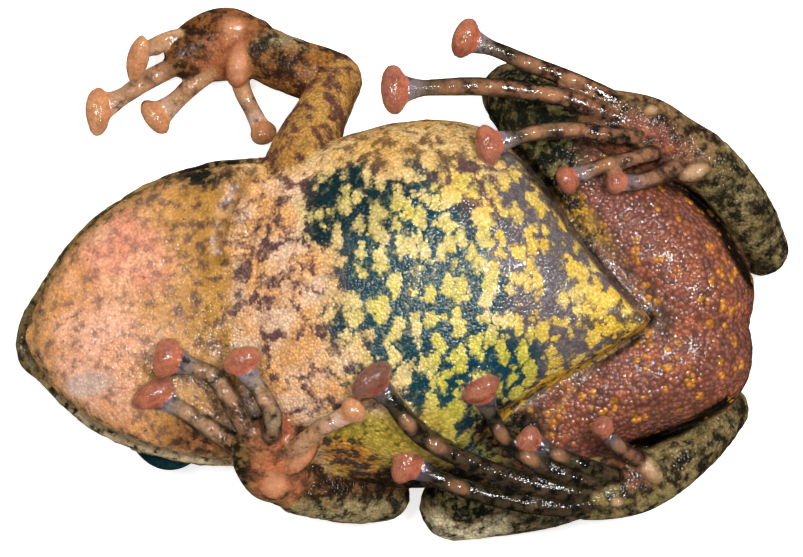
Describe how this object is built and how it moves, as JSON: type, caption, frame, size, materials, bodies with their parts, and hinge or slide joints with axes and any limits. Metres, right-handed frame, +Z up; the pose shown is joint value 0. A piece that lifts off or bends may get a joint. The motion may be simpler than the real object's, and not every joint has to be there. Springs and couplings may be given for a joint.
{
  "type": "frog",
  "caption": "Plump tropical rain frog lying on its back, belly up, with folded limbs, broad disc toe pads and a blotched belly.",
  "frame": {"origin": "on the floor under the centre of the frog's length and breadth", "axes": "+X from the snout towards the rump, +Y towards the frog's own left side, +Z up towards its belly"},
  "size_m": [0.0449, 0.0311, 0.0135],
  "materials": {
    "skin_throat": "moist fine-grained skin",
    "skin_head": "moist mottled skin",
    "skin_belly": "moist granular skin",
    "skin_thigh": "moist granular skin",
    "skin_limb": "moist mottled skin",
    "skin_digit": "moist smooth skin",
    "eye": "wet gloss"
  },
  "bodies": {
    "root": {"head": "skin_head", "lower_jaw": "skin_throat", "torso": "skin_belly", "eye_left": "eye", "eye_right": "eye", "upper_arm_left": "skin_limb", "upper_arm_right": "skin_limb", "forearm_left": "skin_limb", "forearm_right": "skin_limb", "hand_left": "skin_limb", "hand_right": "skin_limb", "thigh_left": "skin_thigh", "thigh_right": "skin_thigh", "shank_left": "skin_limb", "shank_right": "skin_limb", "tarsus_left": "skin_limb", "tarsus_right": "skin_limb", "foot_left": "skin_limb", "foot_right": "skin_limb", "finger_left_1": "skin_digit", "finger_left_2": "skin_digit", "finger_left_3": "skin_digit", "finger_left_4": "skin_digit", "finger_right_1": "skin_digit", "finger_right_2": "skin_digit", "finger_right_3": "skin_digit", "finger_right_4": "skin_digit", "toe_left_1": "skin_digit", "toe_left_2": "skin_digit", "toe_left_3": "skin_digit", "toe_left_4": "skin_digit", "toe_left_5": "skin_digit", "toe_right_1": "skin_digit", "toe_right_2": "skin_digit", "toe_right_3": "skin_digit", "toe_right_4": "skin_digit", "toe_right_5": "skin_digit"}
  },
  "joints": []
}
